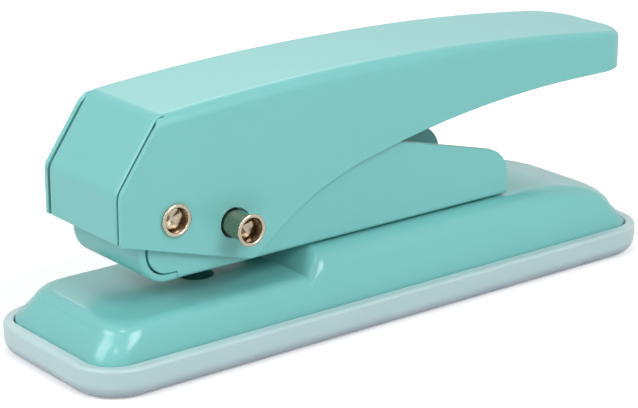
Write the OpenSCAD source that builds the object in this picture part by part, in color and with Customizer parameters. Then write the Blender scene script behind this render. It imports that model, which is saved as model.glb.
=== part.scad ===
// Single hole punch for the desk: a lever turns on a rivet and drives a punch through the frame.
// Origin: centre of the tray's underside. +X runs to the hand end, +Z is up. Millimetres.

/* [Chip tray] */
// Length of the tray
tray_l = 120; // [112:0.5:130]
// Width of the tray
tray_w = 35; // [33:0.5:42]
// Height of the tray's rim
tray_h = 5.3; // [4.6:0.1:6.5]
// Thickness of the tray's floor
tray_floor = 1.2; // [0.8:0.1:1.8]
// Thickness of the tray's outer wall
tray_wall = 1.3; // [0.8:0.1:1.8]
// Thickness of the lip round the base
tray_lip = 1.1; // [0.8:0.1:1.6]
// Corner radius of the tray in plan
tray_corner = 8.5; // [7:0.5:12]
// Radius of the tray's lower edge
tray_round = 2.6; // [1.5:0.1:3.2]
// Width of the rim that shows round the base
rim_w = 2.35; // [2:0.05:3]

/* [Base] */
// Thickness of the base sheet
base_t = 1; // [0.7:0.1:1.4]
// Corner radius of the base in plan
base_corner = 5.2; // [4:0.1:7]
// Height of the front deck that the paper lies on
deck_z = 10.6; // [9.5:0.1:11.2]
// Height of the rear deck that the frame sits on
seat_z = 14.75; // [14:0.05:16.5]
// Radius of the shoulder at the front deck
front_shoulder_r = 2.6; // [2:0.1:3.2]
// Radius of the shoulder at the rear deck
rear_shoulder_r = 4.7; // [3.5:0.1:5.2]
// Inward lean of the side walls
side_lean = 1.3; // [0.8:0.1:2]
// Inward lean of the front wall
front_lean = 2.8; // [1.5:0.1:4]
// Inward lean of the rear wall
rear_lean = 2; // [1.2:0.1:3.5]
// Distance from the punch to the foot of the paper stop
throat_l = 13.5; // [8:0.25:14]
// Length of the steep paper stop, from its foot to its crest
stop_l = 3.5; // [3:0.25:6]
// Length of the level deck behind the frame
tail_level = 4; // [1:0.5:5]
// Fall of the rear deck per millimetre at its end
tail_fall = 0.25; // [0.18:0.01:0.3]
// Length over which the rear deck bends down
tail_bend = 14; // [6:0.5:16]

/* [Frame] */
// Thickness of the frame sheet
frame_t = 1.2; // [0.9:0.05:1.4]
// Outer bend radius of the frame's lower edges
frame_bend = 1.8; // [1.6:0.1:2.4]
// Outer radius of the frame's curled nose
nose_r = 5.25; // [4.5:0.05:6]
// Height of the nose flap above the floor
nose_h = 7.75; // [7:0.25:14]
// Distance from the pivot to the nose's front face
nose_l = 6.05; // [5.8:0.05:7]
// Distance from the pivot to the frame's rear end
frame_l = 71.6; // [66:0.2:76]
// Height of the frame's rear end above its underside, to the top edge's line
frame_rear_h = 7.8; // [7:0.1:8.5]
// Radius of the frame's rear top corner
frame_corner_r = 5.6; // [4:0.1:6.5]
// Rise of the frame's top edge from its rear end to its peak
frame_rise = 11.25; // [8.75:0.25:12.5]
// Length of the rising part of the frame's top edge
frame_rise_l = 43.8; // [38:0.2:46]
// Height of the frame's front top corner above its underside
frame_front_h = 15.5; // [14:0.25:17]
// Gap between the nose flap and the walls
nose_seam = 0.2; // [0.15:0.05:0.4]

/* [Lever] */
// Width across the lever's walls
lever_w = 22.1; // [21.7:0.1:24]
// Thickness of the lever sheet
lever_t = 0.95; // [0.7:0.05:1.1]
// Outer bend radius along the lever's top edges
lever_bend = 2.2; // [1.5:0.1:3]
// Distance from the pivot to the lever's front face
lever_nose = 10.1; // [9.2:0.1:12]
// Distance from the pivot to the lever's rear end
lever_l = 101; // [92:0.5:106]
// Height of the crown above the pivot
crown_h = 18.85; // [17.5:0.05:21]
// Distance from the pivot back to the crown's highest point
crown_x = 39.2; // [34:0.5:45]
// Radius of the crowned top
crown_r = 460; // [400:5:600]
// Depth of the front face's lower edge below the pivot
nose_drop = 2.5; // [1.5:0.1:3]
// Height of the fold in the front face above the pivot
fold_h = 5.7; // [4.5:0.1:7]
// Distance of the top fold ahead of the pivot
top_fold = 2.1; // [1:0.1:3]
// Gap between the front flap and the side walls
flap_seam = 0.45; // [0.3:0.05:0.7]
// Height of the hand end's lower edge above the pivot
hand_h = 8.3; // [7.6:0.05:9.5]
// Distance of the lobe's lowest corner behind the pivot
lobe_x = 15.4; // [14.6:0.1:17]
// Depth of the lobe's lowest corner below the pivot
lobe_drop = 9.9; // [8.6:0.1:10.2]
// Radius of the lobe's corner
lobe_r = 2.4; // [1.5:0.1:3]
// Corner radius of the hand end in plan
hand_corner = 7.5; // [3.5:0.25:9]

/* [Punch and pins] */
// Distance of the punch ahead of the tray's centre
punch_x = 30; // [27:0.25:32]
// Diameter of the punched hole
punch_d = 6; // [5:0.1:6.5]
// Diameter of the punch's head
head_d = 9.5; // [8.5:0.1:11]
// Depth that the punch enters the die
bite = 0.6; // [0.4:0.1:1]
// Angle that the lever turns when it is pressed
press_angle = 12; // [11:0.25:12.5]
// Distance from the pivot back to the punch
arm_l = 11.2; // [10.4:0.1:12]
// Height of the pivot above the frame's underside
pivot_h = 10.45; // [10:0.05:12]
// Depth of the drive pin below the pivot
drive_drop = 2.8; // [2.3:0.05:3]
// Diameter of the pivot rivet's shank
pivot_d = 4.6; // [4:0.1:4.8]
// Diameter of the pivot rivet's flanges
pivot_flange_d = 5.6; // [5.3:0.1:7]
// Thickness of the pivot rivet's flanges
pivot_flange_t = 0.6; // [0.4:0.05:0.9]
// Outer diameter of the spacer on the pivot rivet
spacer_d = 6.8; // [6.2:0.1:8]
// Diameter of the drive pin's shank
drive_d = 4.5; // [4:0.1:4.7]
// Diameter of the drive pin's flanges
drive_flange_d = 5.5; // [5.4:0.1:6.2]
// Thickness of the drive pin's flanges
drive_flange_t = 0.45; // [0.35:0.05:0.7]
// Length that the drive pin can slide sideways
drive_float = 4.2; // [2:0.1:4.6]
// Diameter of the hollows in the pin ends
hollow_d = 3.4; // [2.6:0.1:3.6]
// Depth of the hollows in the pin ends
hollow_l = 3.2; // [2:0.1:4]
// Outer diameter of the die and of the guide bush's flange
bush_flange_d = 10; // [9.4:0.1:12]
// Diameter of the bushes where they pass the sheet
bush_d = 8.4; // [7.6:0.1:9]
// Thickness of the guide bush's flange
guide_flange_t = 0.8; // [0.5:0.1:1]
// Thickness of the die's flange
die_flange_t = 1.5; // [1:0.1:2]

/* [Return spring and frame rivets] */
// Distance of the spring and front frame rivet behind the punch
spring_x = 22; // [21:0.25:25]
// Mean diameter of the spring
spring_d = 9; // [8.6:0.1:10]
// Diameter of the spring wire
wire_d = 1.1; // [0.8:0.05:1.3]
// Number of curls
spring_curls = 8; // [6:1:9]
// Gap between the spring's end curls
end_gap = 0.7; // [0.5:0.1:1.2]
// Diameter of the spring cup
cup_d = 12; // [11.2:0.1:14]
// Thickness of the spring cup's plate
cup_t = 0.6; // [0.4:0.1:1]
// Depth of the spring cup's boss
cup_boss_l = 2.4; // [1.5:0.1:4]
// Distance between the two frame rivets
rivet_pitch = 30; // [26:0.5:32]
// Diameter of the frame rivets' shanks
rivet_d = 4; // [3:0.1:4.4]
// Diameter of the frame rivets' heads
rivet_head_d = 6.6; // [5.8:0.1:7]
// Height of the frame rivets' heads
rivet_head_h = 1.5; // [1:0.1:1.8]
// Diameter of the frame rivets' set ends
rivet_tail_d = 6; // [5.4:0.1:6.6]
// Height of the frame rivets' set ends
rivet_tail_h = 1; // [0.7:0.1:1.4]

/* [Clearances] */
// Radial clearance of turning and sliding fits
run_gap = 0.05; // [0.02:0.01:0.1]
// Radial clearance of fixed fits
fit_gap = 0.02; // [0.01:0.01:0.04]
// Clearance of the drive pin in the frame's slots
slot_gap = 0.1; // [0.08:0.01:0.2]
// Clearance of the drive pin in the lever's slots
lever_gap = 0.25; // [0.2:0.01:0.35]
// Clearance between the lever's walls and the frame's
wall_gap = 0.35; // [0.25:0.05:0.6]
// Gap between pieces that stay just clear of each other
clear = 0.3; // [0.2:0.05:0.4]
// Clearance between the tray's lip and the base
lip_gap = 0.15; // [0.1:0.05:0.25]

/* [Hidden] */
$fn = 64;
eps = 0.01;
far = 200;

// Colours of the finishes
enamel = "#82c4c1";
milky = "#c3d6da";
nickel = "#cfc6b4";
steel = "#b4b8ba";
dark_steel = "#8d9295";

// Places that several pieces share
base_l = tray_l - 2 * rim_w;
base_w = tray_w - 2 * rim_w;
skirt_z = tray_h + clear;
punch_at = -punch_x;
pivot_at = punch_at - arm_l;
pivot_z = seat_z + pivot_h;
drive_z = pivot_z - drive_drop;
floor_z = seat_z + frame_t;
frame_rear = pivot_at + frame_l;
frame_w = lever_w - 2 * (lever_t + wall_gap);
stop_at = punch_at + throat_l;
spring_at = punch_at + spring_x;
rivet_rear_at = spring_at + rivet_pitch;

// Travel of the punch while the lever turns: the lever's slots point at the pivot
rest_angle = atan(drive_drop / arm_l);
stroke = arm_l * tan(rest_angle + press_angle) - drive_drop;
tip_z = deck_z - bite + stroke;
slot_start = arm_l / cos(rest_angle);
slot_end = arm_l / cos(rest_angle + press_angle);

// Outline helpers: each point holds x, y and the radius of its corner
function unit(v) = v / norm(v);
function xy(p) = [p[0], p[1]];
function half_angle(a, b, c) = acos(unit(a - b) * unit(c - b)) / 2;
// Point at distance d inside a corner
function inside(a, b, c, d) = b + unit(unit(a - b) + unit(c - b)) * d / sin(half_angle(a, b, c));
// Arc of radius r that rounds the corner b
function corner(a, b, c, r, n) =
    r <= 0 ? [b] :
    let (half = half_angle(a, b, c), middle = inside(a, b, c, r),
         reach = r / tan(half), turn = 180 - 2 * half,
         from = b + unit(a - b) * reach - middle, to = b + unit(c - b) * reach - middle)
    [for (i = [0:n]) middle + (from * sin(turn * (1 - i / n)) + to * sin(turn * i / n)) / sin(turn)];
function rounded(points, n = 8) =
    let (last = len(points))
    [for (i = [0:last - 1])
        each corner(xy(points[(i + last - 1) % last]), xy(points[i]), xy(points[(i + 1) % last]),
                    points[i][2], n)];

// Rounded plate between two heights
module round_plate(l, w, r, z0, z1) {
    translate([0, 0, z0]) linear_extrude(z1 - z0) {
        square([l - 2 * r, w], center = true);
        square([l, w - 2 * r], center = true);
        for (x = [-1, 1], y = [-1, 1]) translate([x * (l / 2 - r), y * (w / 2 - r)]) circle(r);
    }
}

// Outline in the XZ plane, drawn out to both sides
module across(w) {
    rotate([90, 0, 0]) linear_extrude(w, center = true) children();
}

// Hole across the part
module cross_bore(x, z, d, w) {
    translate([x, 0, z]) rotate([90, 0, 0]) cylinder(h = w, d = d, center = true);
}

// Round-ended slot across the part, from one point to the other
module cross_slot(from, to, d, w) {
    length = norm(to - from);
    turn = atan2(to[1] - from[1], to[0] - from[0]);
    cross_bore(from[0], from[1], d, w);
    cross_bore(to[0], to[1], d, w);
    translate([from[0], 0, from[1]]) rotate([0, -turn, 0]) translate([length / 2, 0, 0])
        cube([length, w, d - 2 * eps], center = true);
}

// Chip tray: one section, turned round the corners and drawn along the straight sides
module tray_section() {
    square([tray_corner - tray_round, tray_h]);
    translate([0, tray_round]) square([tray_corner, tray_h - tray_round]);
    translate([tray_corner - tray_round, tray_round]) circle(tray_round);
}

module tray_body() {
    run_x = tray_l - 2 * tray_corner;
    run_y = tray_w - 2 * tray_corner;
    translate([-run_x / 2, -run_y / 2, 0]) cube([run_x, run_y, tray_h]);
    for (side = [0, 180]) rotate([0, 0, side]) {
        translate([run_x / 2, run_y / 2, 0]) rotate([90, 0, 0]) linear_extrude(run_y) tray_section();
        translate([-run_x / 2, run_y / 2, 0]) rotate([90, 0, 90]) linear_extrude(run_x) tray_section();
        translate([run_x / 2, run_y / 2, 0]) rotate_extrude(angle = 90) tray_section();
        translate([-run_x / 2, run_y / 2, 0]) rotate([0, 0, 90]) rotate_extrude(angle = 90) tray_section();
    }
}

module chip_tray() {
    opening = lip_gap - rim_w;
    color(milky) difference() {
        tray_body();
        round_plate(tray_l - 2 * tray_wall, tray_w - 2 * tray_wall, tray_corner - tray_wall,
                    tray_round, tray_h - tray_lip);
        round_plate(tray_l - 2 * tray_round, tray_w - 2 * tray_round, tray_corner - tray_round,
                    tray_floor, tray_round + eps);
        round_plate(tray_l + 2 * opening, tray_w + 2 * opening, base_corner - lip_gap,
                    tray_floor, tray_h + eps);
    }
}

// Base: height of the deck along the base
tail_at = frame_rear + tail_level;
function deck_height(x) =
    x < stop_at ? deck_z :
    x < stop_at + stop_l ? deck_z + (seat_z - deck_z) * sin(90 * (x - stop_at) / stop_l) :
    x < tail_at ? seat_z :
    x < tail_at + tail_bend ? seat_z - tail_fall * pow(x - tail_at, 2) / (2 * tail_bend) :
    seat_z - tail_fall * (x - tail_at - tail_bend / 2);

// Radius of the shoulder along the base: it grows with the deck's height, up to the rear corners
rear_end = base_l / 2 - rear_lean - base_corner - rear_shoulder_r;
function shoulder(x) =
    front_shoulder_r
    + (rear_shoulder_r - front_shoulder_r) * (deck_height(min(x, rear_end)) - deck_z) / (seat_z - deck_z);
function shoulder_in(x, depth, a) = shoulder(x) - (shoulder(x) - depth) * cos(a);
function shoulder_down(x, depth, a) = shoulder(x) - (shoulder(x) - depth) * sin(a);

// Places along the straight sides where the deck's height changes
stop_steps = 10;
tail_steps = 6;
stations = concat([for (i = [0:stop_steps]) stop_at + stop_l * i / stop_steps],
                  [for (i = [0:tail_steps]) tail_at + (rear_end - tail_at) * i / tail_steps]);
corner_steps = 6;
shoulder_steps = 6;
shoulder_from = 20;

// Closed level round the base, at angle a up the shoulder; the walls lean in where lean is 1
function base_level(lean, depth, a, z = undef) =
    let (r = base_corner - depth,
         half_w = base_w / 2 - side_lean * lean,
         front_in = shoulder_in(-base_l / 2, depth, a),
         rear_in = shoulder_in(rear_end, depth, a),
         front = front_lean * lean + front_in + r - base_l / 2,
         rear = base_l / 2 - rear_lean * lean - rear_in - r,
         side = concat(
             [for (i = [0:corner_steps]) let (t = 180 - 90 * i / corner_steps)
                 [front + r * cos(t), half_w - front_in - r + r * sin(t)]],
             [for (x = stations) [x, half_w - shoulder_in(x, depth, a)]],
             [for (i = [0:corner_steps]) let (t = 90 - 90 * i / corner_steps)
                 [rear + r * cos(t), half_w - rear_in - r + r * sin(t)]]),
         ring = concat(side, [for (i = [len(side) - 1:-1:0]) [side[i][0], -side[i][1]]]))
    [for (p = ring) [p[0], p[1], is_undef(z) ? deck_height(p[0]) - shoulder_down(p[0], depth, a) : z]];
// Wall of the base from its foot to the deck, at a depth inside the outer face
function base_skin(depth) = concat(
    [for (z = [tray_floor, skirt_z]) base_level(0, depth, 0, z)],
    [for (i = [0:shoulder_steps])
        base_level(1, depth, shoulder_from + (90 - shoulder_from) * i / shoulder_steps)]);
function quad(a, b, c, d) = [[a, b, c], [a, c, d]];

module base_sheet() {
    outer = base_skin(0);
    inner = base_skin(base_t);
    levels = len(outer);
    ring = len(outer[0]);
    half = ring / 2;
    within = levels * ring;
    top = (levels - 1) * ring;
    polyhedron(
        points = concat([for (level = outer) each level], [for (level = inner) each level]),
        faces = concat(
            [for (k = [0:levels - 2], i = [0:ring - 1]) let (a = k * ring + i, b = k * ring + (i + 1) % ring)
                each quad(a, b, b + ring, a + ring)],
            [for (k = [0:levels - 2], i = [0:ring - 1])
                let (a = within + k * ring + i, b = within + k * ring + (i + 1) % ring)
                each quad(a + ring, b + ring, b, a)],
            [for (i = [0:half - 2]) each quad(top + i, top + i + 1, top + ring - 2 - i, top + ring - 1 - i)],
            [for (i = [0:half - 2]) let (t = within + top)
                each quad(t + ring - 1 - i, t + ring - 2 - i, t + i + 1, t + i)],
            [for (i = [0:ring - 1]) each quad(i, within + i, within + (i + 1) % ring, (i + 1) % ring)]));
}

module base_shell() {
    color(enamel) difference() {
        base_sheet();
        translate([punch_at, 0, deck_z - 2 * base_t]) cylinder(h = 3 * base_t, d = bush_d + 2 * fit_gap);
        for (x = [spring_at, rivet_rear_at]) translate([x, 0, seat_z - 2 * base_t])
            cylinder(h = 3 * base_t, d = rivet_d + 2 * fit_gap);
    }
}

// Flanged bush under a sheet, flush with the sheet's top at z
module flanged_bush(z, sheet_t, flange_t) {
    translate([punch_at, 0, z - sheet_t - flange_t]) difference() {
        union() {
            cylinder(h = flange_t, d = bush_flange_d);
            cylinder(h = flange_t + sheet_t, d = bush_d);
        }
        translate([0, 0, -eps]) cylinder(h = flange_t + sheet_t + 2 * eps, d = punch_d + 2 * run_gap);
    }
}

module die_bush() {
    color(steel) flanged_bush(deck_z, base_t, die_flange_t);
}

module guide_bush() {
    color(steel) flanged_bush(floor_z, frame_t, guide_flange_t);
}

// Frame: the nose flap curls up round the walls' front corners
nose_at = pivot_at - nose_l;
nose_mid = nose_at + nose_r;
wall_at = nose_at + frame_t + nose_seam;
seam_end = nose_mid + frame_bend;
wall_r = nose_r - frame_t - nose_seam;
frame_front_r = 5;
frame_peak_r = 20;

module frame_section() {
    rotate([90, 0, 90]) translate([0, 0, -far]) linear_extrude(2 * far) difference() {
        union() {
            translate([-frame_w / 2, seat_z + frame_bend]) square([frame_w, far]);
            translate([-frame_w / 2 + frame_bend, seat_z]) square([frame_w - 2 * frame_bend, far]);
            for (y = [-1, 1]) translate([y * (frame_w / 2 - frame_bend), seat_z + frame_bend])
                circle(frame_bend);
        }
        translate([-frame_w / 2 + frame_t, floor_z + frame_bend - frame_t])
            square([frame_w - 2 * frame_t, far]);
        translate([-frame_w / 2 + frame_bend, floor_z]) square([frame_w - 2 * frame_bend, far]);
        for (y = [-1, 1]) translate([y * (frame_w / 2 - frame_bend), seat_z + frame_bend])
            circle(frame_bend - frame_t);
    }
}

// Side view of the frame's walls; the front corner is lifted clear of the flap
module frame_outline(front, low, front_r) {
    rear = [frame_rear, seat_z + frame_rear_h];
    peak = rear + [-frame_rise_l, frame_rise];
    polygon(rounded([
        [front, low, front_r],
        [front, seat_z + frame_front_h, frame_front_r],
        [peak[0], peak[1], frame_peak_r],
        [rear[0], rear[1], frame_corner_r],
        [frame_rear, low, 0]]));
}

module nose_flap() {
    across(frame_w) {
        intersection() {
            translate([nose_mid, seat_z + nose_r]) difference() {
                circle(nose_r);
                circle(nose_r - frame_t);
            }
            translate([nose_at, seat_z]) square(nose_r);
        }
        translate([nose_at, seat_z + nose_r]) square([frame_t, nose_h - nose_r]);
        translate([nose_mid, seat_z]) square([seam_end - nose_mid, frame_t]);
    }
}

module frame_channel() {
    color(enamel) difference() {
        union() {
            intersection() {
                frame_section();
                across(far) intersection() {
                    frame_outline(wall_at, seat_z, 0);
                    translate([seam_end, 0]) square(far);
                }
            }
            for (y = [-1, 1]) translate([0, y * (frame_w - frame_t) / 2, 0]) across(frame_t) intersection() {
                frame_outline(wall_at, floor_z + nose_seam, wall_r);
                translate([seam_end - far, 0]) square(far);
            }
            nose_flap();
        }
        cross_bore(pivot_at, pivot_z, pivot_d + 2 * run_gap, frame_w + 1);
        cross_slot([punch_at, drive_z], [punch_at, drive_z - stroke], drive_d + 2 * slot_gap, frame_w + 1);
        translate([punch_at, 0, seat_z - eps]) cylinder(h = frame_t + 2 * eps, d = bush_d + 2 * fit_gap);
        for (x = [spring_at, rivet_rear_at]) translate([x, 0, seat_z - eps])
            cylinder(h = frame_t + 2 * eps, d = rivet_d + 2 * fit_gap);
    }
}

// Domed rivet through the frame's floor and the rear deck
module frame_rivet(x) {
    grip = frame_t + base_t;
    dome_r = (pow(rivet_head_d / 2, 2) + pow(rivet_head_h, 2)) / (2 * rivet_head_h);
    color(dark_steel) translate([x, 0, seat_z - base_t]) rotate_extrude() {
        square([rivet_d / 2, grip]);
        intersection() {
            translate([0, grip + rivet_head_h - dome_r]) circle(dome_r);
            translate([0, grip]) square([rivet_head_d, rivet_head_h]);
        }
        translate([0, -rivet_tail_h]) square([rivet_tail_d / 2, rivet_tail_h]);
    }
}

module front_frame_rivet() {
    frame_rivet(spring_at);
}

module rear_frame_rivet() {
    frame_rivet(rivet_rear_at);
}

// Punch: a head that the drive pin crosses, over the cutting shank
head_low = floor_z + stroke + clear;
head_top = drive_z + drive_d / 2 + (drive_z - drive_d / 2 - head_low) + clear;
tip_cone = 0.8;
head_edge = 0.6;

module punch_pin() {
    color(steel) difference() {
        translate([punch_at, 0, 0]) rotate_extrude() polygon([
            [0, tip_z + tip_cone], [punch_d / 2 - 2 * fit_gap, tip_z],
            [punch_d / 2, tip_z], [punch_d / 2, head_low],
            [head_d / 2 - head_edge, head_low], [head_d / 2, head_low + head_edge],
            [head_d / 2, head_top - head_edge], [head_d / 2 - head_edge, head_top], [0, head_top]]);
        cross_bore(punch_at, drive_z, drive_d + 2 * run_gap, head_d + 1);
    }
}

// Pin with a flared, hollow end at each side, lying along Y from one outer face to the other
module hollow_pin(x, z, from, to, d, flange_d, flange_t) {
    length = to - from;
    flare = (d - hollow_d) / 2;
    module end() {
        translate([0, flange_t / 2]) circle(flange_t / 2);
    }
    translate([x, from, z]) rotate([-90, 0, 0]) rotate_extrude() difference() {
        union() {
            square([d / 2, length]);
            for (base = [0, length - flange_t]) translate([0, base]) {
                square([flange_d / 2 - flange_t / 2, flange_t]);
                translate([flange_d / 2 - flange_t / 2, 0]) end();
            }
        }
        for (side = [0, 1]) translate([0, side * length]) mirror([0, side]) {
            polygon([[0, -eps], [hollow_d / 2 + flare + eps, -eps],
                     [hollow_d / 2, flare], [hollow_d / 2, hollow_l],
                     [0, hollow_l + hollow_d / 4]]);
        }
    }
}

// The drive pin lies over to the -Y side, with its far flange close to the lever's +Y wall
module drive_pin() {
    wall = lever_w / 2;
    color(nickel) hollow_pin(punch_at, drive_z, -wall - clear - drive_float - drive_flange_t,
                             wall + clear + drive_flange_t, drive_d, drive_flange_d, drive_flange_t);
}

module pivot_rivet() {
    end = lever_w / 2 + pivot_flange_t;
    color(nickel) hollow_pin(pivot_at, pivot_z, -end, end, pivot_d, pivot_flange_d, pivot_flange_t);
}

// Tube that keeps the frame's walls apart at the pivot
module pivot_spacer() {
    length = frame_w - 2 * frame_t - 2 * run_gap;
    color(dark_steel) translate([pivot_at, 0, pivot_z]) rotate([90, 0, 0]) difference() {
        cylinder(h = length, d = spacer_d, center = true);
        cylinder(h = length + 1, d = pivot_d + 2 * run_gap, center = true);
    }
}

// Lever outline about the pivot: nose, crown, hand end, arch over the frame and lobe round the drive pin
fold_r = 3;
top_fold_r = 4;
hand_edge_r = 3;
arch_r = 200;
arch_turn = 13.5;
arch_l = 86.2;
neck_r = 50;
neck_l = 36;
function crown_at(x) = crown_h - crown_r + sqrt(pow(crown_r, 2) - pow(x - crown_x, 2));
nose_low = [-lever_nose, -nose_drop];
nose_fold = [-lever_nose, fold_h];
nose_top = [-top_fold, crown_at(-top_fold)];
hand_top = [lever_l, crown_at(lever_l)];
// Two lines over the crown, a little steeper than its ends, meet above it
over_crown = 2;
front_climb = tan(asin((crown_x + top_fold) / crown_r) + over_crown);
rear_climb = tan(asin((lever_l - crown_x) / crown_r) + over_crown);
over_x = (hand_top[1] - nose_top[1] + lever_l * rear_climb - top_fold * front_climb)
    / (front_climb + rear_climb);
over_top = [over_x, nose_top[1] + (over_x + top_fold) * front_climb];
// The arch's lines meet the hand end's edge and the lobe
arch_knee = [arch_l - arch_r * tan(arch_turn / 2), hand_h];
neck_knee = arch_knee - neck_l * [cos(arch_turn), sin(arch_turn)];

module lever_outline() {
    polygon(rounded([
        [nose_low[0], nose_low[1], 0],
        [nose_fold[0], nose_fold[1], fold_r],
        [nose_top[0], nose_top[1], top_fold_r],
        [over_top[0], over_top[1], 0],
        [hand_top[0], hand_top[1], hand_edge_r],
        [lever_l, hand_h, hand_edge_r],
        [arch_knee[0], arch_knee[1], arch_r],
        [neck_knee[0], neck_knee[1], neck_r],
        [lobe_x, -lobe_drop, lobe_r]], 12));
}

// Side view of the lever's hollow behind its front face
module hollow_outline() {
    fold_in = inside(nose_low, nose_fold, nose_top, lever_t);
    top_in = inside(nose_fold, nose_top, over_top, lever_t);
    polygon(rounded([
        [nose_low[0] + lever_t, -far, 0],
        [fold_in[0], fold_in[1], fold_r - lever_t],
        [top_in[0], top_in[1], top_fold_r - lever_t],
        [top_in[0] + far, top_in[1] + far * front_climb, 0],
        [top_in[0] + far, -far, 0]], 12));
}

// Solid under the crowned, round-edged top, at a depth inside the outer face
module crown_body(depth) {
    sweep = 18;
    reach = 60;
    bend = lever_bend - depth;
    half_w = lever_w / 2 - depth;
    translate([crown_x, 0, crown_h - crown_r]) rotate([90, 0, 0]) rotate([0, 0, 90 - sweep / 2])
        rotate_extrude(angle = sweep, $fn = 720) translate([crown_r - depth, 0]) {
            translate([-reach, -half_w]) square([reach - bend, 2 * half_w]);
            translate([-reach, -half_w + bend]) square([reach, 2 * (half_w - bend)]);
            for (y = [-1, 1]) translate([-bend, y * (half_w - bend)]) circle(bend);
        }
}

// Plan of the hand end, with its round corners; it stands just outside the walls
module hand_plan(depth) {
    r = hand_corner - depth;
    half_w = lever_w / 2 - depth + 2 * fit_gap;
    translate([0, 0, -far]) linear_extrude(2 * far) {
        translate([lever_l - depth - r - far, -half_w]) square([far, 2 * half_w]);
        translate([lever_l - depth - far, -half_w + r]) square([far, 2 * (half_w - r)]);
        for (y = [-1, 1]) translate([lever_l - depth - r, y * (half_w - r)]) circle(r);
    }
}

// Slit between the front flap and each wall, ending in a round relief at the top fold
module flap_slits() {
    slit_end = flap_seam - top_fold;
    slit_y = (lever_w - flap_seam) / 2 - lever_t + fit_gap;
    relief_d = 3 * flap_seam;
    for (y = [-1, 1]) translate([slit_end, y * slit_y, 0]) {
        translate([-2 * lever_nose, -flap_seam / 2, -2 * lobe_drop])
            cube([2 * lever_nose, flap_seam, 2 * lobe_drop + 2 * crown_h]);
        translate([0, 0, crown_h - 3 * lever_bend]) cylinder(h = 4 * lever_bend, d = relief_d);
    }
}

module lever() {
    slot_way = [cos(rest_angle), -sin(rest_angle)];
    color(enamel) translate([pivot_at, 0, pivot_z]) difference() {
        intersection() {
            crown_body(0);
            across(2 * lever_w) lever_outline();
            hand_plan(0);
        }
        intersection() {
            crown_body(lever_t);
            across(2 * lever_w) hollow_outline();
            hand_plan(lever_t);
        }
        flap_slits();
        cross_bore(0, 0, pivot_d + 2 * fit_gap, 2 * lever_w);
        cross_slot(slot_start * slot_way, slot_end * slot_way, drive_d + 2 * lever_gap, 2 * lever_w);
    }
}

// Spring cup: a plate under the lever's top, with a boss inside the spring
cup_top = pivot_z
    + min(crown_at(spring_at - pivot_at - cup_d / 2), crown_at(spring_at - pivot_at + cup_d / 2))
          - lever_t;
cup_boss_d = spring_d - wire_d - 2 * clear;

module spring_cup() {
    color(dark_steel) translate([spring_at, 0, cup_top - cup_t]) {
        cylinder(h = cup_t, d = cup_d);
        translate([0, 0, -cup_boss_l]) cylinder(h = cup_boss_l + eps, d = cup_boss_d);
    }
}

// Return spring: one wire wound from the frame's floor to the cup, closer wound at its ends
spring_low = floor_z + wire_d / 2 + run_gap;
spring_high = cup_top - cup_t - wire_d / 2 - run_gap;
curl_rings = 8;
wire_sides = 6;
end_pitch = wire_d + end_gap;
function spring_rise(t) =
    let (whole = spring_high - spring_low, low = end_pitch, mid = (whole - 2 * low) / (spring_curls - 2))
    t < 1 ? low * t : t > spring_curls - 1 ? whole - low * (spring_curls - t) : low + mid * (t - 1);
function spring_point(t) =
    [spring_d / 2 * cos(360 * t), spring_d / 2 * sin(360 * t), spring_low + spring_rise(t)];
spring_rings = spring_curls * curl_rings;
spring_path = [for (i = [0:spring_rings]) spring_point(i / curl_rings)];
function spring_ring(i) =
    let (t = i / curl_rings, out = [cos(360 * t), sin(360 * t), 0])
    [for (k = [0:wire_sides - 1]) let (a = 360 * k / wire_sides)
        [spring_at, 0, 0] + spring_path[i] + wire_d / 2 * (cos(a) * out + sin(a) * [0, 0, 1])];
spring_gap = min([for (i = [0:spring_rings], j = [i + curl_rings - 2:1:spring_rings])
                  norm(spring_path[i] - spring_path[j])]) - wire_d;
echo(str("return_spring least gap to itself ", spring_gap, " mm"));

module return_spring() {
    last = spring_rings * wire_sides;
    color(steel) polyhedron(
        points = [for (i = [0:spring_rings]) each spring_ring(i)],
        faces = concat(
            [for (i = [0:spring_rings - 1], k = [0:wire_sides - 1])
                let (a = i * wire_sides + k, b = i * wire_sides + (k + 1) % wire_sides)
                each quad(a, b, b + wire_sides, a + wire_sides)],
            [for (k = [1:wire_sides - 2]) [0, k + 1, k]],
            [for (k = [1:wire_sides - 2]) [last, last + k, last + k + 1]]));
}

chip_tray();
base_shell();
die_bush();
frame_channel();
front_frame_rivet();
rear_frame_rivet();
guide_bush();
punch_pin();
drive_pin();
pivot_rivet();
pivot_spacer();
lever();
spring_cup();
return_spring();
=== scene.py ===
import math
from types import SimpleNamespace

import bmesh
import bpy
from bpy.props import FloatProperty, IntProperty, PointerProperty, StringProperty
from mathutils import Matrix, Vector


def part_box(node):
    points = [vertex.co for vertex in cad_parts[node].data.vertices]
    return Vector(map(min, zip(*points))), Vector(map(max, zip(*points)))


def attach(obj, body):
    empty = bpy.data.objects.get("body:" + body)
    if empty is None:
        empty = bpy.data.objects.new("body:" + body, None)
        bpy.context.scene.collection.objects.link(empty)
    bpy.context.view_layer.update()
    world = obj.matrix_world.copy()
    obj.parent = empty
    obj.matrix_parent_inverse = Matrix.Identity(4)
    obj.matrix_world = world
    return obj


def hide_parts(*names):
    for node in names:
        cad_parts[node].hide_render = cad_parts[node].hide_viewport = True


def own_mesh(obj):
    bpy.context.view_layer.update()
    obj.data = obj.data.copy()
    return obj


bl_info = {
    "name": "Single hole punch",
    "version": (1, 0, 0),
    "blender": (4, 5, 0),
    "location": "3D View > Sidebar > Hole punch",
    "description": "Builds a pressed steel single hole punch on its chip tray, around its CAD frame",
    "category": "Object",
}

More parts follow.
